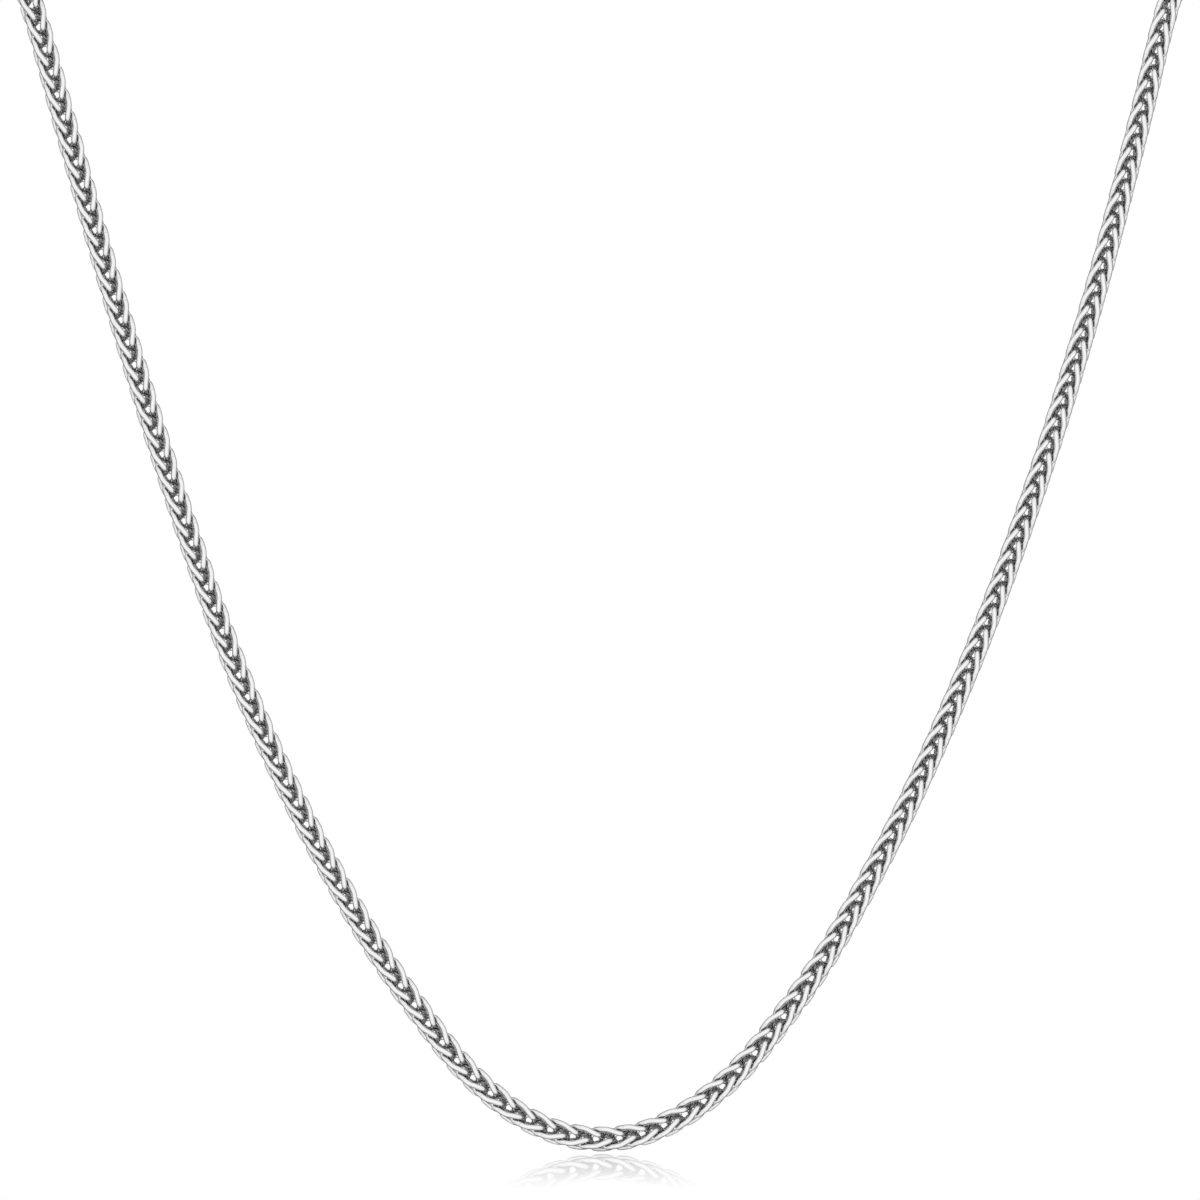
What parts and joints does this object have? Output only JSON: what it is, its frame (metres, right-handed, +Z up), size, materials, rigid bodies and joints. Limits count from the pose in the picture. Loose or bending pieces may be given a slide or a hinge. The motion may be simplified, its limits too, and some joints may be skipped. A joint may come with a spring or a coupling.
{
  "type": "wheat chain necklace",
  "caption": "Necklace of polished silver wheat chain: interlocked oval links woven into a round cord, closed at the nape by end caps, rings and a claw clasp.",
  "frame": {"origin": "middle of the clasp at the nape, on the centre line of the loop, where the necklace hangs on the neck", "axes": "+X towards the right as seen from the front, -Y towards the front, +Z up; the V of the chain hangs in an upright plane at the front"},
  "size_m": [0.1286, 0.073, 0.1517],
  "materials": {
    "woven_silver": "polished silver wire links with burnished flats",
    "cap_silver": "polished silver tube with a soldered loop",
    "ring_silver": "polished silver wire",
    "clasp_silver": "cast silver, tumbled and polished"
  },
  "bodies": {
    "root": {"wheat_chain": "woven_silver", "end_cap_left": "cap_silver", "end_cap_right": "cap_silver", "jump_ring": "ring_silver", "clasp_ring": "ring_silver", "clasp": "clasp_silver"}
  },
  "joints": []
}
